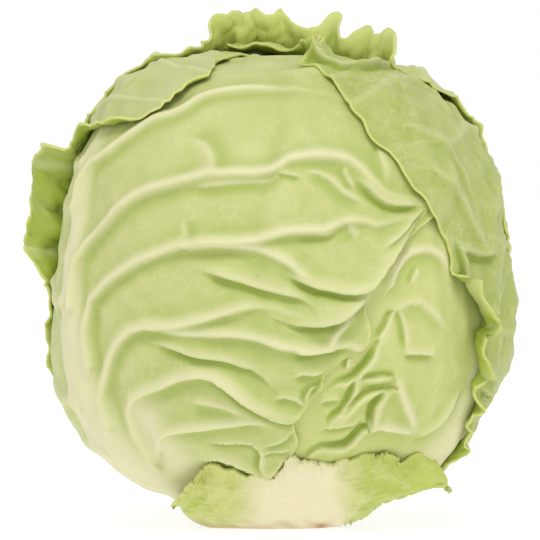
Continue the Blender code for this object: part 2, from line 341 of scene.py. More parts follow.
class Mark:
    """A vein, fold or crease that runs along a line on the head.

    It stands up by height over width to its left side, and over low to its right side, where it also
    sinks by depth. Its crest leans over to the right by over, up to the line. It tapers towards its two ends.
    """

    def __init__(self, line, height, width, low, depth, ends, cream, deep, over, fine):
        self.height, self.width, self.low, self.depth = height, width, low, depth
        self.over = min(over, 0.95 * self.low)
        self.ends, self.cream, self.deep, self.fine = ends, cream, deep, fine
        ways = seen_at(*np.asarray(smooth_line(line, 3.0)).T)
        self.nodes = smooth_line(ways * MARK_RADIUS, 3.0)
        self.nodes *= MARK_RADIUS / np.linalg.norm(self.nodes, axis=1, keepdims=True)
        steps = np.linalg.norm(np.diff(self.nodes, axis=0), axis=1)
        self.along = np.concatenate([[0], np.cumsum(steps)]) / steps.sum()
        self.centre = self.nodes.mean(0)
        widest = max(self.width, 2.4 * self.low)
        self.reach = np.linalg.norm(self.nodes - self.centre, axis=1).max() + 3.2 * widest

    def add(self, spots, total):
        """Adds this mark to a blade's relief at these spots."""
        near = np.flatnonzero(np.linalg.norm(spots - self.centre, axis=1) < self.reach)
        if not len(near):
            return
        best = np.full(len(near), 1e9)
        side, place = np.zeros(len(near)), np.zeros(len(near))
        aside = np.zeros((len(near), 3))
        for i in range(len(self.nodes) - 1):
            a, b = self.nodes[i], self.nodes[i + 1]
            run = b - a
            off = spots[near] - a
            t = np.clip(off @ run / (run @ run), 0, 1)
            gap = off - t[:, None] * run
            distance = np.sqrt((gap**2).sum(1))
            closer = distance < best
            best[closer] = distance[closer]
            across = np.cross(run, a)
            across /= np.linalg.norm(across)
            side[closer] = gap[closer] @ across
            place[closer] = self.along[i] + t[closer] * (self.along[i + 1] - self.along[i])
            aside[closer] = across
        first, last = self.ends
        size = first + (1 - first) * ease(place / 0.22)
        size *= last + (1 - last) * ease((1 - place) / 0.3)
        past = np.where(side > 0, best, -best) + self.over * size
        wide = np.where(past < 0, self.width, self.low) * (0.6 + 0.4 * size)
        hump = np.exp(-((past / wide) ** 2))
        low = self.low * (0.6 + 0.4 * size)
        hollow = np.exp(-(((past - 1.7 * low) / (1.5 * low)) ** 2)) * (past > 0)
        total["rise"][near] += size * (self.height * hump - self.depth * hollow)
        pale = self.cream * size * np.exp(-((past / (wide * self.fine)) ** 2))
        total["cream"][near] = np.maximum(total["cream"][near], pale)
        # Painted shade: a band of darker green beyond the mark's low side, where its shadow falls.
        shade_below = np.exp(-(((past - 1.7 * low) / (2.4 * low)) ** 2)) * (past > 0)
        total["deep"][near] = np.maximum(total["deep"][near], self.deep * size * shade_below)
        total["lean"][near] += (self.over * size * hump)[:, None] * aside


class Leaf:
    """A wrapper leaf in its own coordinates: an angle along the midrib from its base, and one to each side.

    The midrib runs from base through middle, which are places on the head. left and right are the margin's
    angles to each side, seen from outside, each as an angle along the midrib and the width there, in degrees.
    rib is the midrib's height, half width and paleness. veins are the side veins' spacing, slant, height and
    paleness, and the side they are on. swell is the height of the blade's unevenness, and waver that of its
    margin. tint makes the blade greener towards its right margin and paler elsewhere.
    """

    def __init__(self, base, middle, left, right, rib, veins, seed, swell, marks=(), waver=0.0, tint=0.0):
        self.base, middle = toward(*base), toward(*middle)
        self.ahead = middle - (middle @ self.base) * self.base
        self.ahead /= np.linalg.norm(self.ahead)
        self.aside = np.cross(self.ahead, self.base)
        self.widths = {LEFT: np.radians(left).T, RIGHT: np.radians(right).T}
        self.start, self.end = np.radians([left[0][0], left[-1][0]])
        self.rib, self.veins, self.marks, self.swell, self.seed = rib, veins, list(marks), swell, seed
        self.waver, self.tint = waver, tint

    def ways(self, along, across):
        """From the leaf's coordinates to ways."""
        outward = np.cos(across)[..., None] * self.ahead + np.sin(across)[..., None] * self.aside
        return np.cos(along)[..., None] * self.base + np.sin(along)[..., None] * outward

    def local(self, ways):
        """From ways to the leaf's coordinates."""
        forward, sideways = ways @ self.ahead, ways @ self.aside
        return np.arctan2(np.hypot(forward, sideways), ways @ self.base), np.arctan2(sideways, forward)

    def half_width(self, along, side):
        """The margin's angle on one side (-1 or 1), with the small waves that a leaf's margin has."""
        places, widths = self.widths[side]
        wide = np.interp(along, places, widths)
        wide = (np.interp(along - 0.03, places, widths) + np.interp(along + 0.03, places, widths) + wide) / 3
        run = along * AROUND
        wave = ripple(np.stack([run, np.full_like(along, 7.0 * side)], -1), 14, self.seed + 40 + side)
        fine = ripple(np.stack([run, np.full_like(along, 3.0 * side)], -1), 5, self.seed + 60 + side)
        return wide + (self.waver * wave + 0.4 * self.waver * fine) / AROUND / np.maximum(np.sin(along), 0.35)

    def inside(self, ways):
        """How far inside the blade's margin a place is, in millimetres."""
        along, across = self.local(ways)
        margin = np.where(across > 0, self.half_width(along, RIGHT), self.half_width(along, LEFT))
        return np.minimum((margin - np.abs(across)) * np.sin(along), self.end - along) * AROUND

    def cover(self, ways):
        """1 where the blade is, falling to 0 a little way outside its margin."""
        return ease(1 + self.inside(ways) / 9)

    def add_side_veins(self, along, offset, ahead, total):
        """Adds evenly spaced side veins, each of its own strength, that slant away from the midrib."""
        spacing, slant, height, tone, sides = self.veins
        for side in (LEFT, RIGHT):
            here = (np.sign(offset) == side) & ahead if sides in (BOTH, side) else np.zeros(len(offset), bool)
            out = np.abs(offset[here])
            jitter = 0.24 * ripple(np.stack([out, np.full_like(out, 50.0 * side)], -1), 40, self.seed + 9)
            slanted = along[here] * AROUND - slant * out**0.86 + 9 * np.sin(out / 26 + side)
            phase = slanted / spacing + 0.37 * side + jitter
            number = np.floor(phase)
            strength = 0.55 + 0.45 * np.sin(number * 2.4 + self.seed)
            distance = np.abs(phase - number - 0.5) * spacing
            fade = strength * ease(1.25 - out / 88) * ease((out + 6) / 8)
            width = 2.6 * (0.45 + 0.55 * ease(1 - out / 80))
            line = fade * np.exp(-((distance / width) ** 2))
            total["rise"][here] += height * line
            total["cream"][here] = np.maximum(total["cream"][here], tone * line)

    def relief(self, ways):
        """The blade's shape over what it lies on: its rise and lean, where it is cream, and where it is
        painted with shade.
        """
        shape = ways.shape[:-1]
        ways = ways.reshape(-1, 3)
        along, across = self.local(ways)
        offset = np.arcsin(np.clip(ways @ self.aside, -1, 1)) * AROUND
        ahead = ways @ self.ahead > -0.1
        rib_height, half, rib_cream = self.rib
        share = np.clip(along / self.end, 0, 1)
        thin = (1 - ease(share * 1.05)) * ahead
        wide = half * (0.35 + 0.65 * (1 - share) + 0.9 * np.exp(-((along / 0.6) ** 2)))
        ridge = np.exp(-(np.abs(offset) / wide) ** 2.6)
        stripe = np.exp(-(np.abs(offset) / (wide * 1.05)) ** 4)
        total = {"rise": rib_height * thin * ridge, "cream": rib_cream * np.minimum(1, 2.2 * thin) * stripe,
                 "deep": np.zeros(len(ways)), "lean": np.zeros_like(ways)}
        self.add_side_veins(along, offset, ahead, total)
        for mark in self.marks:
            mark.add(ways * MARK_RADIUS, total)
        spots = ways * AROUND
        total["rise"] += (self.swell * ripple(spots, 26, self.seed)
                          + 0.35 * self.swell * ripple(spots, 10, self.seed + 1))
        # Hollows level out softly, so that the blade keeps clear of what is under it.
        sunk = DEEPEST * (np.exp(np.minimum(total["rise"], 0) / DEEPEST) - 1)
        total["rise"] = np.where(total["rise"] < 0, sunk, total["rise"])
        return {key: value.reshape(shape + value.shape[1:]) for key, value in total.items()}


def bed(ways, beneath):
    """How far from the middle of the head a leaf lies that was laid over the heart and these leaves."""
    radius = heart_radius(ways) + AIR
    for leaf in beneath:
        radius = radius + leaf.cover(ways) * (BLADE + AIR + np.maximum(leaf.relief(ways)["rise"], 0))
    return radius


def spread(places, weights, count):
    """Places from -1 to 1 that lie closer together where the weight is larger."""
    fine = np.linspace(places[0], places[-1], 2000)
    total = np.cumsum(np.interp(fine, places, weights))
    return np.interp(np.linspace(total[0], total[-1], count), total, fine)


def gathered(field, reach, how):
    """The field's mean or lowest value in a square of this reach round each cell."""
    for _ in range(2):
        near = np.clip(np.arange(len(field))[:, None] + np.arange(-reach, reach + 1), 0, len(field) - 1)
        field = how(field[near], 1).T
    return field


def sheet(name, grid, marks, wall, finish, nodes, rise=0.0, bent=1.0):
    """A thin piece from a grid of points on its outer face.

    Its inner face has half as many rows and columns, and keeps under the outer face's hollows. bent is 1
    where the wall is square to the outer face, and 0 where it is measured towards the middle of the head.
    """
    rows, columns = grid.shape[:2]
    facing = np.cross(np.gradient(grid, axis=0), np.gradient(grid, axis=1))
    facing /= np.linalg.norm(facing, axis=-1, keepdims=True) + 1e-9
    flip = np.sum(facing * (grid - MIDDLE)) < 0
    facing = -facing if flip else facing
    row, column = np.meshgrid(np.arange(rows), np.arange(columns), indexing="ij")
    inland = ease(np.minimum(np.minimum(row, rows - 1 - row), np.minimum(column, columns - 1 - column)) / 8)
    drop = (rise - gathered(rise, 3, np.min)) * inland if np.ndim(rise) else np.zeros((rows, columns))
    downward = (MIDDLE - grid) / np.linalg.norm(MIDDLE - grid, axis=-1, keepdims=True)
    bent = np.clip(np.broadcast_to(bent, (rows, columns)), 0, 1)[..., None]
    inner = (grid - facing * bent * wall + downward * (1 - bent) * (wall + drop[..., None]))[::2, ::2]
    points = np.concatenate([grid.reshape(-1, 3), inner.reshape(-1, 3)])
    points[:, 2] = np.maximum(points[:, 2], LOWEST)
    out = np.arange(rows * columns).reshape(rows, columns)
    under = rows * columns + np.arange(inner.shape[0] * inner.shape[1]).reshape(inner.shape[:2])
    faces = [grid_faces(out),
             np.stack([under[:-1, :-1], under[1:, :-1], under[1:, 1:], under[:-1, 1:]], -1).reshape(-1, 4)]
    rims = ((out[0, ::-1], under[0, ::-1]), (out[-1], under[-1]), (out[:, 0], under[:, 0]),
            (out[::-1, -1], under[::-1, -1]))
    for fine, coarse in rims:
        faces.append(np.stack([fine[:-2:2], fine[1:-1:2], fine[2::2], coarse[1:], coarse[:-1]], -1))
    faces = [face[::-1] if not flip else face for group in faces for face in group.tolist()]
    marks = {key: np.concatenate([value.ravel(), value[::2, ::2].ravel()]) for key, value in marks.items()}
    marks["inside"] = np.concatenate([np.zeros(rows * columns), np.ones(inner.shape[0] * inner.shape[1])])
    return skin(name, points, faces, marks, finish, nodes)


def grow(name, leaf, beneath, finish, nodes, dense, curls=()):
    """Makes a leaf's mesh over the leaves beneath it.

    dense says where rows and columns lie closer, as pairs of a place and a weight, along and then across.
    curls are stretches of the margin that bend away from the head: the edge, from and to along it in degrees,
    the width of the bent strip, how far it turns in degrees, and how strong and how long its ruffles are.
    """
    rows_at, columns_at = dense
    along_share = spread(*zip(*rows_at), LEAF_ROWS)
    across_share = spread(*zip(*columns_at), LEAF_COLUMNS)
    angles = leaf.start + (leaf.end - leaf.start) * along_share
    along, offset = np.meshgrid(angles, across_share, indexing="ij")
    side = np.where(offset > 0, 1, -1)
    wide = np.where(offset > 0, leaf.half_width(along, RIGHT), leaf.half_width(along, LEFT))
    across = offset * wide
    tip_wave = ripple(np.stack([across * 60, along * 0], -1), 16, leaf.seed + 80) * leaf.waver / AROUND
    along = along + tip_wave * ease((along - leaf.end + 0.5) / 0.5)
    flat_along, flat_across = along.copy(), across.copy()
    bent = []
    for edge, first, last, strip, angle, ruffle, length in curls:
        spot = np.degrees(across if edge == TIP else along)
        share = (spot - first) / (last - first)
        fade = ease(6 * share) * ease(6 * (1 - share)) * (side == edge if edge != TIP else 1.0)
        wave = ripple(np.stack([spot * 1.4, 0 * spot], -1), length, leaf.seed + 20)
        width = np.maximum(strip * fade * (1 + 0.25 * wave), 1e-3)
        if edge == TIP:
            over = np.maximum((along - leaf.end) * AROUND + width, 0)
            flat_along = flat_along - over / AROUND
        else:
            scale = AROUND * np.maximum(np.sin(along), 0.2)
            over = np.maximum((np.abs(across) - wide) * scale + width, 0)
            flat_across = flat_across - side * over / scale
        bent.append((edge, over, width, np.radians(angle) * fade * (1 + ruffle * wave)))
    ways = leaf.ways(flat_along, flat_across)
    made = leaf.relief(ways)
    radius = bed(ways, beneath) + BLADE + made["rise"]
    points = MIDDLE + ways * radius[..., None] + made["lean"]
    for edge, over, width, angle in bent:
        nudge = 0.004
        if edge == TIP:
            tangent = leaf.ways(flat_along + nudge, flat_across) - leaf.ways(flat_along - nudge, flat_across)
        else:
            tangent = leaf.ways(flat_along, flat_across + nudge) - leaf.ways(flat_along, flat_across - nudge)
            tangent *= side[..., None]
        tangent /= np.linalg.norm(tangent, axis=-1, keepdims=True)
        bend = np.where(np.abs(angle) < 1e-3, 1e-3, angle) / width
        sideways, outward = np.sin(bend * over) / bend, (1 - np.cos(bend * over)) / bend
        points += tangent * sideways[..., None] + ways * outward[..., None]
    if bent:
        curled = np.minimum(1, sum(ease(over / 4) * (width > 4) for edge, over, width, angle in bent))
        own = np.stack([along * AROUND, across * AROUND], -1)
        facing = np.cross(np.gradient(points, axis=0), np.gradient(points, axis=1))
        facing /= np.linalg.norm(facing, axis=-1, keepdims=True) + 1e-9
        crinkle = 0.9 * ripple(own, 12, leaf.seed + 90) + 0.35 * ripple(own, 5, leaf.seed + 91)
        points += facing * (curled * crinkle)[..., None]
    from_edge = np.minimum((wide - np.abs(across)) * np.sin(along), leaf.end - along) * AROUND
    from_edge = np.where(along < leaf.start + 0.05, 9, from_edge)
    # Painted shade and light: greener where the blade lies lower than its surroundings, paler on its crests;
    # tint adds the leaf's own tone, greener towards its right margin.
    hollow = np.clip((gathered(radius, 7, np.mean) - radius) / DEEPEST, -0.6, 1)
    hollow = hollow + leaf.tint * (np.clip(offset, 0, 1) - 0.6)
    marks = {"cream": made["cream"], "deep": made["deep"], "hollow": hollow,
             "margin": np.exp(-((from_edge / 0.8) ** 2))}
    bend_share = sum(ease(over / 1.5) * (width > 1.5) for edge, over, width, angle in bent) if bent else 0.0
    return sheet(name, points, marks, BLADE, finish, nodes, radius, bend_share)


def cream(line, height=2.0, width=2.6, low=1.7, depth=0.6, deep=0.3, ends=(0.8, 0.15), tone=0.9, over=0.5,
          fine=0.7):
    """A vein of the blade: it stands out as a pale ridge, a little steeper on its lower side."""
    return Mark(line, height, width, low, depth, ends, tone, deep, over, fine)


def fold(line, height=2.4, width=4.5, low=1.0, depth=1.4, deep=0.85, ends=(0.1, 0.1), tone=0.6, over=1.4,
         fine=0.4):
    """A fold: the blade rolls up to it on one side and drops sharply on the other."""
    return Mark(line, height, width, low, depth, ends, tone, deep, over, fine)


right_inner = Leaf(
    base=(52, -75), middle=(66, -10),
    left=((7, 100), (24, 88), (38, 88), (58, 76), (75, 70), (100, 65), (138, 45)),
    right=((7, 100), (24, 86), (40, 85), (80, 80), (110, 65), (138, 45)),
    rib=(5.0, 9.0, 0.9), veins=(15.0, 0.9, 1.4, 0.4, RIGHT), seed=11, swell=0.7,
    marks=[
        cream([(48, 52), (51, 44), (56, 34)], 1.4, 2.4, 2.0),
        cream([(39, 38), (46, 36), (56, 33)], 1.6, 2.6, 2.0),
        cream([(46, 87), (48, 92), (50, 95), (53, 97.5), (57, 98.3), (60, 98), (63, 96), (65, 93), (67, 88)],
              1.6, 2.4, 1.8),
        cream([(47, 78), (56, 80), (66, 70)], 1.0, 2.2, 2.0, tone=0.4),
        cream([(58, 33), (63, 37), (67, 42), (71, 50)], 1.2, 2.4, 1.6, tone=0.5),
        Mark([(56, 20), (62, 26), (68, 34), (74, 44)], 0.5, 5.5, 5.5, 0, (0.9, 0.2), 1.0, 0, 0, 1.0),
        fold([(48, 79), (46, 76.5), (44, 72.5), (42, 69.5), (39.5, 67)], 1.1, 3.0, 0.8, 0.9, 0.6, over=0.6),
        fold([(48, 79), (49.5, 75), (50.5, 70), (51, 63)], 0.9, 2.6, 0.8, 0.8, 0.6, over=0.5),
        fold([(55.5, 92.5), (53.5, 89), (52.3, 86)], 0.8, 2.6, 0.8, 0.7, 0.5, over=0.4),
        fold([(50, 62.5), (53, 62.3), (56, 62), (59.5, 61.7), (62, 60)], 1.2, 3.4, 0.9, 1.2, 0.7, over=0.8),
        # The part that was pushed back and crumpled with the front leaf's margin.
        fold([(31, 62), (30.7, 59.5), (30.3, 57)], 0.8, 1.5, 0.7, 0.8, 0.7, over=0.4),
        fold([(41, 66), (39, 61.7), (37, 59), (34.4, 56.2), (33, 54.6), (30.3, 53.3), (27.7, 52.7), (25, 51)],
             2.3, 2.6, 0.8, 1.8, 0.9, over=1.2, ends=(0.4, 0.2)),
        fold([(34, 54), (33.3, 52), (32.7, 50), (31.5, 47), (30, 44.5), (28.5, 42.5), (26.5, 41.3),
              (25.3, 40.2), (24, 38)],
             2.2, 2.4, 0.8, 1.8, 0.85, over=1.2, ends=(0.4, 0.2)),
        fold([(47.5, 54), (43, 54.9), (40, 54.4), (37, 54.2), (34.5, 52.7)], 1.3, 1.9, 0.8, 1.2, 0.6,
             over=0.6),
        fold([(47.5, 50), (44, 50.3), (40, 49.9), (37, 48.6), (34, 46.6), (32, 44.2), (30, 42), (27, 39)],
             1.8, 2.2, 0.9, 1.5, 0.6, over=0.9),
        fold([(47, 50), (44, 49), (41.5, 47), (40, 45), (39.4, 42), (39, 39), (38, 37), (35.8, 36.3),
              (34, 34.5), (32, 32.2), (30, 31), (25, 30.3), (22, 30), (20, 29), (18.3, 27.5)], 2.6, 2.6, 0.8,
              2.0, 0.9, over=1.5, ends=(0.4, 0.4)),
        fold([(21, 45), (23, 46.5), (26, 46.8), (29, 46.5)], 1.0, 1.8, 0.8, 0.9, 0.5, over=0.5),
        fold([(21, 36), (24, 37.3), (28, 37.5), (33, 38.5), (36, 41)], 1.2, 2.0, 0.8, 1.0, 0.5, over=0.5),
    ])
inner_leaf_skin = leaf_finish("inner_leaf_skin", (0.68, 0.69, 0.31, 1), (0.53, 0.595, 0.18, 1),
                              (0.76, 0.74, 0.45, 1), (0.34, 0.44, 0.06, 1), (0.66, 0.69, 0.26, 1))
grow("right_inner_leaf_blade", right_inner, [], inner_leaf_skin, ["right_inner_leaf"],
     (((0, 0.6), (0.08, 1.5), (0.5, 1.5), (0.7, 0.8), (1, 0.5)), ((-1, 1.6), (0, 1.5), (0.25, 0.9),
                                                                  (1, 0.5))))


# ---- Front leaf --------------------------------------------------------------------------------------------
# The large leaf across the front. Its midrib runs up the left side, and its thick veins sweep across to the
# right, where the margin was pushed back and crumpled while the head was packed.
front = Leaf(
    base=(-50, -68), middle=(-64, -4),
    left=((6, 105), (24, 70), (100, 66), (130, 60), (162, 50)),
    right=((6, 105), (24, 90), (37, 91), (42, 90), (46, 82), (49, 86), (55, 86), (60, 87), (67, 91), (69, 94),
           (71, 95), (76, 91),
     (81, 88), (85, 89), (93, 91), (98, 95), (111, 104), (135, 100), (162, 70)),
    rib=(5.0, 9.5, 1.0), veins=(16.0, 1.0, 1.4, 0.5, LEFT), seed=23, swell=0.7, waver=0.6, tint=0.5,
    marks=[
        # The midrib's broad foot, then the veins from the lowest to the highest.
        Mark([(-22, 17), (-29, 24), (-35, 31), (-40, 40), (-46, 52)], 0.6, 8.0, 8.0, 0, (0.8, 0.1), 1.0, 0, 0,
             1.0),
        cream([(-34, 28), (-34, 33), (-31, 35), (-25, 36.3), (-18, 37.3), (-10, 38.5), (0, 39.5), (7, 39.7)],
              1.8, 2.8),
        cream([(-35, 25), (-39, 31), (-42, 36), (-44, 42), (-43, 46), (-40, 48.5), (-33, 51.5), (-28, 54),
               (-20, 55.7), (-15, 55.3), (-11, 53.5), (-7, 50.5), (-3, 47.5), (2, 45.5), (8, 43), (14, 42)],
               2.4, 3.0),
        cream([(-50, 38), (-53, 46), (-52, 55), (-50, 62), (-47, 67), (-44, 70), (-39, 71.7), (-30, 72.5),
               (-20, 74.5), (-12, 77), (-5, 79), (1, 79.5), (7, 79), (12, 77)], 2.4, 3.0),
        cream([(-36, 71), (-24, 70), (-10, 69.8), (0, 68.5), (8, 66.6), (15, 65.6), (22, 65.3), (27, 66.6),
               (31, 66.5), (34, 64.5)],
              1.7, 2.6, 1.6, 0.5, 0.35, (0.4, 0.6)),
        cream([(-57, 58), (-59, 68), (-58, 76), (-57, 80), (-54, 84), (-50, 88), (-46, 91), (-42, 93.5),
               (-37, 96), (-32, 98), (-26, 100), (-20, 101), (-12, 101.5), (-4, 101.7), (2, 102.5), (8, 104),
               (16, 105), (22, 105), (27, 107), (31, 108.3), (35, 108), (40, 106.7), (44, 107.5), (48, 109),
               (54, 111)], 2.6, 2.8),
        cream([(-24, 99.5), (-15, 100.3), (-8, 100), (0, 99), (5, 97), (10, 94.5), (14, 91.5), (18, 89),
               (22, 87)], 1.6, 2.8),
        cream([(-63, 78), (-62, 88), (-61, 94), (-59, 99), (-56, 103), (-52, 107), (-47, 112), (-42, 116),
               (-37, 118.5), (-30, 120.5), (-24, 122), (-18, 123.5), (-10, 124.3), (0, 124.7), (5, 125.5),
               (10, 128), (14, 128.7), (20, 129.2), (27, 129), (31, 128), (34, 126), (37, 122.5), (40, 119),
               (43, 117), (48, 116), (54, 115.5), (57, 115)], 2.8, 2.8, ends=(0.8, 0.1)),
        cream([(-63, 112), (-61, 120), (-57, 127), (-52, 131), (-48, 135), (-44, 138), (-40, 141),
               (-35, 143.5), (-30, 145), (-25, 147), (-20, 150), (-15, 151.5), (-8, 153), (0, 154),
               (5, 154.3), (12, 153), (22, 151)], 1.9, 2.8),
        cream([(-15, 126), (-16, 131), (-18.5, 135), (-24, 137)], 0.7, 2.4, 1.8, tone=0.4),
        cream([(-26, 101), (-25, 104), (-26, 109)], 0.5, 2.0, 1.6, tone=0.35),
        cream([(31, 106), (32.5, 104.5), (33.5, 102)], 1.0, 1.8, 1.6, tone=0.5),
        cream([(41, 130), (42, 126), (43.5, 121)], 0.9, 2.2, 1.4, tone=0.2),
        # Creases between the veins.
        fold([(-37, 66.7), (-30, 64.6), (-25, 63.2), (-20, 62), (-13, 60.8), (-10, 60), (-6, 58.4),
              (-2, 57.6), (2, 55.5), (6, 52)],
             1.5, 5.0, 1.0, 1.3, over=0.9),
        fold([(-19, 54.5), (-15, 53.6), (-12, 52.7), (-10, 51.3), (-8, 50), (-6, 48), (-3, 46), (0, 44.3),
              (3, 43), (6, 41.6), (10, 40.3), (14, 40.2)], 1.9, 3.2, 0.9, 1.6, over=1.3, ends=(0.1, 0.6)),
        fold([(-24, 46), (-16, 45.2), (-10, 44), (-3, 41)], 0.7, 4.0, 1.8, 0.8, 0.35, over=0.3),
        fold([(-20, 91.8), (-16, 91), (-12, 89.7), (-8, 88.5), (-4, 87.3), (0, 86), (4, 85), (8, 84),
              (12, 83.2), (15, 82.3), (17.5, 80.8), (19, 79)], 2.0, 5.0, 1.2, 1.8, 0.75, over=1.3),
        fold([(6, 124.9), (8.5, 124.3), (11, 123.5), (15, 122.3)], 0.8, 1.8, 0.7, 0.8, 0.7, over=0.5),
        fold([(-24, 120.4), (-18, 120.6), (-12, 121.3), (-4, 122.2), (4, 122.5), (9, 124.2)], 0.7, 2.6, 1.3,
             1.0, 0.5, over=0.3),
        fold([(15, 124.5), (21, 124.3), (24, 122.8), (26.5, 120.5), (29, 118), (32, 116), (36, 114)], 0.9,
             3.0, 1.4, 1.0, 0.45, over=0.4),
        fold([(28.6, 127.5), (29.2, 124.5), (30.8, 121.5), (33, 118.5)], 0.9, 2.6, 0.8, 0.9, 0.6, over=0.5),
        fold([(33, 124), (34.5, 121.5), (36, 119.3), (38, 117), (40, 115.4), (43, 113.8), (46, 113.1),
              (50, 113), (56, 113.4)],
             2.0, 3.2, 0.9, 1.6, 0.85, over=1.5, ends=(0.1, 0.15)),
        fold([(12, 103.6), (18, 104), (24, 103.9), (27.5, 106)], 0.6, 2.0, 0.8, 0.8, 0.5, over=0.3),
        fold([(41, 98.5), (43, 100), (46, 102.4), (49, 105), (52, 108.3), (55, 111.3), (58, 113)], 0.9, 2.0,
             0.8, 0.7, 0.6, over=0.5),
        fold([(-21, 23.5), (-18, 24.6), (-15, 25), (-12, 24.8), (-9, 24), (-6, 23), (-3, 21.5), (0, 20.3)],
             1.5, 3.4, 0.9, 1.5, over=1.0),
        fold([(-18, 32), (-12, 31.3), (-6, 31), (-2, 31.2), (0, 30), (1, 28), (0.6, 26), (0.7, 24), (2, 22),
              (3, 20.5)],
             1.3, 2.6, 0.8, 1.3, over=0.8),
        fold([(2, 31.5), (5, 32), (8, 33), (10, 34.5), (12, 37)], 0.8, 2.0, 0.7, 0.8, 0.6, over=0.5),
        fold([(2, 28.8), (5, 29.4), (8, 29.4), (12, 30.2)], 0.7, 1.8, 0.7, 0.8, 0.5, over=0.5),
        # The blade that the margin was pushed back into, where it bulges and crumples.
        fold([(9, 90.6), (12, 89.6), (15, 88), (18, 86.6), (20, 85.8), (24, 85.1), (27.5, 84.3), (31, 84.2),
              (34, 84.8), (37, 86.5), (39.5, 89)], 2.6, 4.5, 0.9, 1.7, 0.85, over=1.6, ends=(0.1, 0.3)),
        fold([(7.5, 75.2), (10, 74.4), (13, 73.7), (18, 73.4), (22, 73.5), (27, 74.7), (30, 76.5), (33, 79.2),
              (36, 82.3), (39, 86.2), (42, 90.3), (45, 94.7), (47.5, 98.5), (50.5, 103), (53.5, 107),
              (57, 110.7)],
             3.8, 6.0, 1.0, 2.4, 0.9, over=2.2, ends=(0.15, 0.15)),
        cream([(24, 66.5), (25.5, 69), (28, 72), (31, 75.5), (34.5, 79)], 1.6, 1.8, 1.8, 0.3, over=0.2,
              ends=(0.5, 0.5)),
        fold([(11, 64.2), (14, 64.1), (18, 64.1), (22, 64.9), (27, 65.7), (31, 65.4)], 1.3, 2.2, 0.9, 1.5,
             0.9, over=0.8),
        fold([(41, 66.5), (37, 63.6), (34, 62.5), (31.8, 61.5), (30, 60.2), (27.2, 58.4), (24.6, 55.6),
              (21.5, 52.9), (20, 50.2), (19.6, 45.6), (18, 42.5), (16, 41), (13.3, 40.2)], 2.4, 3.2, 0.8, 1.7,
              0.85, over=1.4, ends=(0.4, 0.5)),
        fold([(11, 36.5), (14, 38.4), (17, 38), (19, 37), (18.6, 34.7), (16, 33.5), (13, 33.4)], 1.2, 1.7,
             0.8, 0.9, 0.6, over=0.7),
        fold([(21, 52.6), (18, 52), (16.5, 50), (16, 48.4), (17, 46.3)], 0.9, 1.6, 0.7, 0.9, 0.6, over=0.5),
        fold([(14.2, 32), (14.3, 29), (14, 26)], 0.8, 1.6, 0.6, 1.0, 0.8, over=0.5),
        fold([(12, 56), (15, 57), (19, 56.4), (23, 57.5)], 1.1, 2.2, 1.0, 0.9, 0.45, over=0.5),
        fold([(5, 48.5), (9, 49), (13, 48), (17, 45)], 0.9, 2.4, 1.0, 0.8, 0.4, over=0.4),
    ])
front_skin = leaf_finish("front_leaf_skin", (0.65, 0.665, 0.30, 1), (0.475, 0.54, 0.165, 1),
                         (0.76, 0.735, 0.45, 1), (0.33, 0.43, 0.06, 1), (0.68, 0.71, 0.29, 1))
grow("front_leaf_blade", front, [right_inner], front_skin, ["front_leaf"],
     (((0, 0.4), (0.1, 0.9), (0.2, 1.5), (0.62, 1.4), (0.75, 0.9), (1, 0.6)),
      ((-1, 0.3), (-0.2, 0.5), (0, 0.9), (0.3, 1.0), (0.6, 1.6), (1, 1.8))))


# ---- Left outer leaf ---------------------------------------------------------------------------------------
# A looser leaf that comes round from the back on the left. Its margin lies over the top of the front leaf
# as a flap, and lower down it curls away from the head in small ruffles.
left_outer = Leaf(
    base=(-122, -70), middle=(-124, 0),
    left=((6, 105), (24, 82), (50, 84), (110, 80), (150, 56)),
    right=((6, 90), (26, 36), (37, 33), (55, 34), (72, 33), (100, 32), (108, 34), (112, 40), (116, 51),
           (120, 58), (125, 63), (130, 65),
     (136, 66), (143, 63), (150, 30)),
    rib=(5.0, 9.0, 0.9), veins=(16.0, 1.0, 1.7, 0.6, BOTH), seed=31, swell=1.0, waver=1.0)
outer_skin = leaf_finish("outer_leaf_skin", (0.62, 0.645, 0.32, 1), (0.50, 0.56, 0.20, 1),
                         (0.68, 0.68, 0.38, 1), (0.33, 0.43, 0.04, 1), (0.70, 0.73, 0.24, 1),
                         (0.34, 0.43, 0.045, 1))
grow("left_outer_leaf_blade", left_outer, [right_inner, front], outer_skin, ["left_outer_leaf"],
     (((0, 0.6), (0.3, 1), (0.4, 1.4), (0.9, 1.4), (1, 1)), ((-1, 0.6), (0, 0.7), (0.7, 1.2), (1, 1.8))),
     curls=[Curl(RIGHT, 69, 106, strip=15.5, angle=120, ruffle=0.4, length=12),
            Curl(RIGHT, 92, 123, strip=7.5, angle=52, ruffle=0.12, length=12),
            Curl(RIGHT, 45, 64, strip=4.5, angle=85, ruffle=0.3, length=9),
            Curl(RIGHT, 116, 147, strip=2.6, angle=55, ruffle=0.3, length=24)])


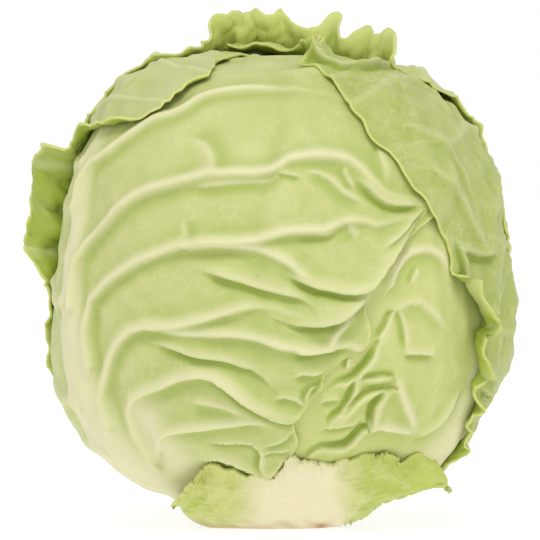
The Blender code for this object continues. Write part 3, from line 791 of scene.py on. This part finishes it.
# ---- Right outer leaf --------------------------------------------------------------------------------------
# The darker leaf round the right side. Its free margin runs down the front in a thin bright line. At the top
# it rolls over, and low down it is creased and crumpled.
right_outer = Leaf(
    base=(128, -72), middle=(122, 0),
    left=((6, 105), (24, 78), (50, 74), (54, 74), (59, 75), (65, 72), (70, 74), (73, 70), (80, 73), (86, 76),
          (94, 73), (99, 73),
     (104, 76), (110, 77), (115, 80), (121, 79), (127, 83), (135, 81), (141, 79), (150, 71), (158, 67)),
    right=((6, 105), (24, 82), (50, 84), (110, 80), (158, 56)),
    rib=(5.0, 9.0, 0.9), veins=(14.0, 1.0, 1.5, 0.5, BOTH), seed=43, swell=1.3, waver=0.5,
    marks=[
        fold([(11, 166), (15, 163), (18, 161.7), (23, 160.3), (28, 158.6), (36, 158), (43, 159), (52, 161)],
             2.4, 3.2, 1.0),
        fold([(69, 98), (73, 96), (77, 95), (81, 96)], 1.8, 3.0),
        fold([(68, 102), (70, 93), (71, 85), (72, 82), (74, 79), (74, 72), (75, 69)], 1.6, 2.6, 0.8),
        fold([(75, 69), (78, 72), (80, 75), (83, 75)], 1.8, 2.6),
        fold([(73, 60), (76, 57), (79, 53), (82, 52)], 1.4, 2.2),
        fold([(74, 51), (76, 49), (79, 48), (84, 49)], 2.0, 2.6),
        fold([(72, 42), (75, 46), (76, 47), (78, 45), (79, 41)], 1.6, 2.2),
        cream([(52, 137), (60, 134), (70, 126), (76, 112)], 1.0, 2.6, tone=0.35),
        cream([(60, 122), (68, 116), (76, 102), (80, 92)], 1.0, 2.6, tone=0.35),
    ])
right_skin = leaf_finish("right_leaf_skin", (0.52, 0.56, 0.21, 1), (0.40, 0.47, 0.11, 1),
                         (0.62, 0.63, 0.32, 1), (0.32, 0.41, 0.05, 1), (0.66, 0.70, 0.22, 1),
                         (0.38, 0.47, 0.07, 1), net=2.6)
grow("right_outer_leaf_blade", right_outer, [right_inner, front, left_outer], right_skin,
     ["right_outer_leaf"], (((0, 0.7), (0.2, 1.2), (1, 1)), ((-1, 1.8), (-0.6, 1.2), (0, 0.7), (1, 0.6))),
     curls=[Curl(LEFT, 37, 62, strip=5.0, angle=80, ruffle=0.5, length=9),
            Curl(LEFT, 58, 92, strip=7.5, angle=120, ruffle=0.3, length=18),
            Curl(LEFT, 90, 152, strip=2.0, angle=40, ruffle=0.4, length=26),
            Curl(TIP, -70, 10, strip=8.0, angle=70, ruffle=0.3, length=18)])


# ---- Back outer leaf ---------------------------------------------------------------------------------------
# The outermost whole leaf, up the back. Its crinkled margin stands up over the crown of the head.
back_outer = Leaf(
    base=(176, -68), middle=(176, 0),
    left=((6, 105), (24, 78), (110, 72), (138, 64), (149, 60)),
    right=((6, 105), (24, 78), (110, 74), (138, 62), (149, 48)),
    rib=(5.0, 9.5, 0.9), veins=(16.0, 1.0, 1.8, 0.6, BOTH), seed=57, swell=1.2, waver=0.8)
back_skin = leaf_finish("back_leaf_skin", (0.62, 0.645, 0.32, 1), (0.50, 0.56, 0.20, 1),
                        (0.68, 0.68, 0.38, 1), (0.33, 0.43, 0.04, 1), (0.66, 0.70, 0.24, 1),
                        (0.56, 0.62, 0.17, 1))
grow("back_outer_leaf_blade", back_outer, [right_inner, front, left_outer, right_outer], back_skin,
     ["back_outer_leaf"], (((0, 0.7), (0.7, 0.9), (0.85, 1.8), (1, 2.2)), ((-1, 1), (1, 1))),
     curls=[Curl(TIP, -68, 45, strip=12.0, angle=76, ruffle=0.3, length=15),
            Curl(TIP, -72, -6, strip=7.0, angle=50, ruffle=0.2, length=14)])


# ---- Torn leaf base ----------------------------------------------------------------------------------------
# What is left of an older leaf that was torn off: the thick pale end of its midrib, with a ragged strip of
# blade to each side. Its foot was cut through with the stem, and has dried brown.
TORN_WALL = 1.5
# The cut foot, as points in the part's frame, and the torn edge, as how far right and how high it is.
FOOT = [(-27, -19, 8.5), (-24.5, -18, 5), (-22, -18, 2), (-16, -20, 0), (-8, -22, 0), (4, -24, 0),
        (16, -23, 0), (24, -21, 0.3), (31, -24, 1), (36, -26, 3.5), (42, -29, 8.5), (50, -33, 11.5),
        (55, -34, 13.6), (60, -34, 15.2), (66, -33, 15.5)]
TORN = [(-29, 9), (-26, 13), (-22, 17), (-19, 22), (-14, 24), (-9, 22.5), (-3, 21), (3, 20.5), (8, 22),
        (10, 27), (14, 26.5), (20, 25.5), (30, 26), (38, 27), (45, 28), (50, 25.5), (55, 27), (59, 26),
        (63, 22), (65, 17), (67, 14)]
collar_skin = leaf_finish("torn_base_skin", (0.70, 0.70, 0.30, 1), (0.46, 0.55, 0.085, 1),
                          (0.81, 0.75, 0.49, 1), (0.40, 0.48, 0.06, 1), (0.66, 0.68, 0.22, 1),
                          (0.6, 0.6, 0.25, 1), net=1.7)


def even(points, share):
    """Places at these shares along the smooth curve through the points."""
    line = smooth_line(points, 1.0)
    run = np.concatenate([[0], np.cumsum(np.linalg.norm(np.diff(line, axis=0), axis=1))])
    return np.stack([np.interp(share * run[-1], run, line[:, k]) for k in range(3)], -1)


# The torn edge lies against the leaves, and stands free where it passes the head's outline on the right.
torn_line = []
for x, z in TORN:
    way = seen_at(x, z)
    on_head = MIDDLE + way * (bed(way[None], [right_inner, front])[0] + 0.5)
    torn_line.append((x, max(min(on_head[1], -30.0 - 0.2 * abs(x - 67)), -66.0), z))
across, up = np.meshgrid(np.linspace(0, 1, 401), np.linspace(0, 1, 121), indexing="ij")
low, high = even(FOOT, across), even(torn_line, across)
collar = low + (high - low) * up[..., None]
outward = collar * [1, 1, 0]
outward /= np.linalg.norm(outward, axis=-1, keepdims=True)
down = np.array([0, 0, -1.0])
bow = np.sin(np.pi * up**0.8)
x = collar[..., 0]
middle_rib = np.exp(-((x - 13) / 17) ** 4)
flat = x[..., None] * [1.0, 0.0]
crumple = 1.1 * ripple(collar, 15, 71) + 0.8 * ripple(collar, 7, 72) + 0.35 * ripple(collar, 3.2, 73)
fibres = ripple(np.stack([x - 0.5 * collar[..., 2], 0.12 * collar[..., 2]], -1), 3.4, 74)
hug = 1 - 0.75 * ease((up - 0.75) / 0.25)
push = 4.5 * bow + 0.35 * fibres * middle_rib * up + crumple * (1 - 0.8 * middle_rib) * ease(3 * up) * hug
push *= ease(np.minimum(across, 1 - across) / 0.07)
collar += (0.75 * outward + 0.25 * down) * push[..., None]
strength = 0.6 + 0.5 * ripple(flat, 19, 78)
ragged = (0.8 * ripple(flat, 9, 75) + 0.9 * strength * ripple(flat, 3.4, 76)
          + 0.5 * strength * ripple(flat, 1.5, 79))
collar[..., 2] += ragged * ease((up - 0.7) / 0.3)
foot_ragged = 0.8 * ripple(flat, 5, 81) + 0.6 * ripple(flat, 2.1, 82)
collar[..., 2] += np.abs(foot_ragged) * ease((x - 24) / 6) * ease(1 - up / 0.25)
from_foot = collar[..., 2] + 1.2 * ripple(collar, 6, 77)
pale = np.clip(middle_rib * 1.15 + 0.3 * ease(1 - up * 2) * (x < 30) - 0.12 * ease(fibres) * up, 0, 1)
spot = np.exp(-(((x - 22) / 1.6) ** 2 + (from_foot / 1.2) ** 2))
brown = np.clip(ease(1 - from_foot / 4.5) * ease((28 - x) / 4) * 0.42 + 0.7 * spot, 0, 1)
# Painted shade: darker green where the collar's crumples sink.
marks = {"cream": pale, "deep": 0.35 * ease(0.3 - 0.6 * crumple) * (1 - pale), "hollow": 0 * pale,
         "margin": 0.5 * np.exp(-(((1 - up) * 25) ** 2)), "age": brown}
sheet("torn_base_collar", collar, marks, TORN_WALL, collar_skin, ["torn_leaf_base"])


# ---- Floor, light and camera -------------------------------------------------------------------------------
# A white table, a large soft light from above and in front, and a long lens level with the head.
floor_mesh = bpy.data.meshes.new("floor")
floor_mesh.from_pydata([(-4, -4, 0), (4, -4, 0), (4, 4, 0), (-4, 4, 0)], [], [(0, 1, 2, 3)])
floor = bpy.data.objects.new("floor", floor_mesh)
bpy.context.scene.collection.objects.link(floor)
white = bpy.data.materials.new("white_table")
white.use_nodes = True
table = white.node_tree.nodes["Principled BSDF"]
table.inputs["Base Color"].default_value = (0.3, 0.3, 0.3, 1)
table.inputs["Roughness"].default_value = 0.9
table.inputs["Emission Color"].default_value = (1, 1, 1, 1)
table.inputs["Emission Strength"].default_value = 0.8
floor.data.materials.append(white)

world = bpy.data.worlds.new("studio")
bpy.context.scene.world = world
world.use_nodes = True
sky = Value(world.node_tree, None)
glow = sky.node("ShaderNodeBackground", Color=(1, 1, 1, 1), Strength=0.70)
backdrop = sky.node("ShaderNodeBackground", Color=(1, 1, 1, 1), Strength=1.0)
seen = sky.node("ShaderNodeLightPath")
both = sky.node("ShaderNodeMixShader", i0=seen, i1=glow, i2=backdrop)
world.node_tree.links.new(both.socket, world.node_tree.nodes["World Output"].inputs["Surface"])
for name, place, size, power in (("key", (0.1, -0.95, 1.4), 0.5, 9.0), ("fill", (0.5, -1.4, 0.3), 1.0, 1.0)):
    lamp = bpy.data.lights.new(name, "AREA")
    lamp.size, lamp.energy = size, power
    holder = bpy.data.objects.new(name, lamp)
    bpy.context.scene.collection.objects.link(holder)
    holder.location = place
    aim = Vector((0.005, 0, 0.085)) - holder.location
    holder.rotation_euler = aim.to_track_quat("-Z", "Y").to_euler()

VIEW_WIDTH, SENSOR = 0.189, 36  # in metres at the head, and in millimetres
lens = bpy.data.cameras.new("camera")
camera = bpy.data.objects.new("camera", lens)
bpy.context.scene.collection.objects.link(camera)
target = Vector((0.0042, 0.0, 0.0886))
camera.location = target + Vector((0, -1.6, 0.07))
camera.rotation_euler = (target - camera.location).to_track_quat("-Z", "Y").to_euler()
lens.lens = SENSOR / VIEW_WIDTH * (target - camera.location).length
lens.clip_end = 30
bpy.context.scene.camera = camera
bpy.context.scene.view_settings.view_transform = "Standard"
